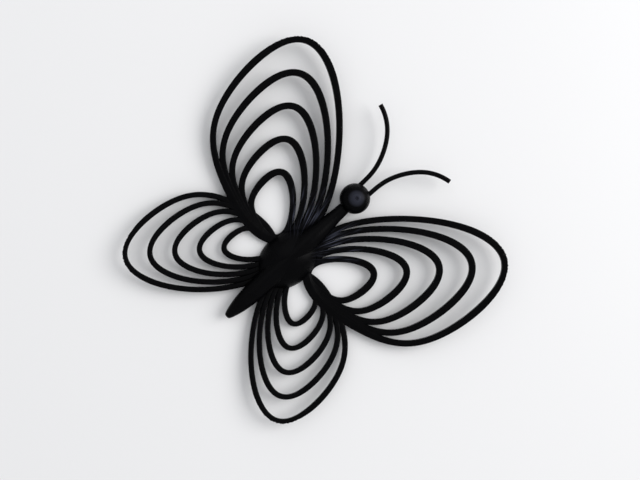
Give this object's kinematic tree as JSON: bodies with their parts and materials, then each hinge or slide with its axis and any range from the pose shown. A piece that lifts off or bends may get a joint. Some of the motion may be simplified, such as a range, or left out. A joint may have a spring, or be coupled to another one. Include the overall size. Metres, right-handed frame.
{
  "type": "openwork butterfly wall ornament",
  "caption": "Flat-backed openwork butterfly that decorates a wall, with wings of nested rings, a round body, a ball head and curved antennae.",
  "frame": {"origin": "on the flat back, under the middle of the body between the wing roots", "axes": "+X to the butterfly's right wings, +Y along the body to the head, +Z away from the wall"},
  "size_m": [0.1698, 0.1479, 0.0148],
  "materials": {
    "black_plastic": "satin black, with fine layer lines"
  },
  "bodies": {
    "root": {"butterfly": "black_plastic"}
  },
  "joints": []
}
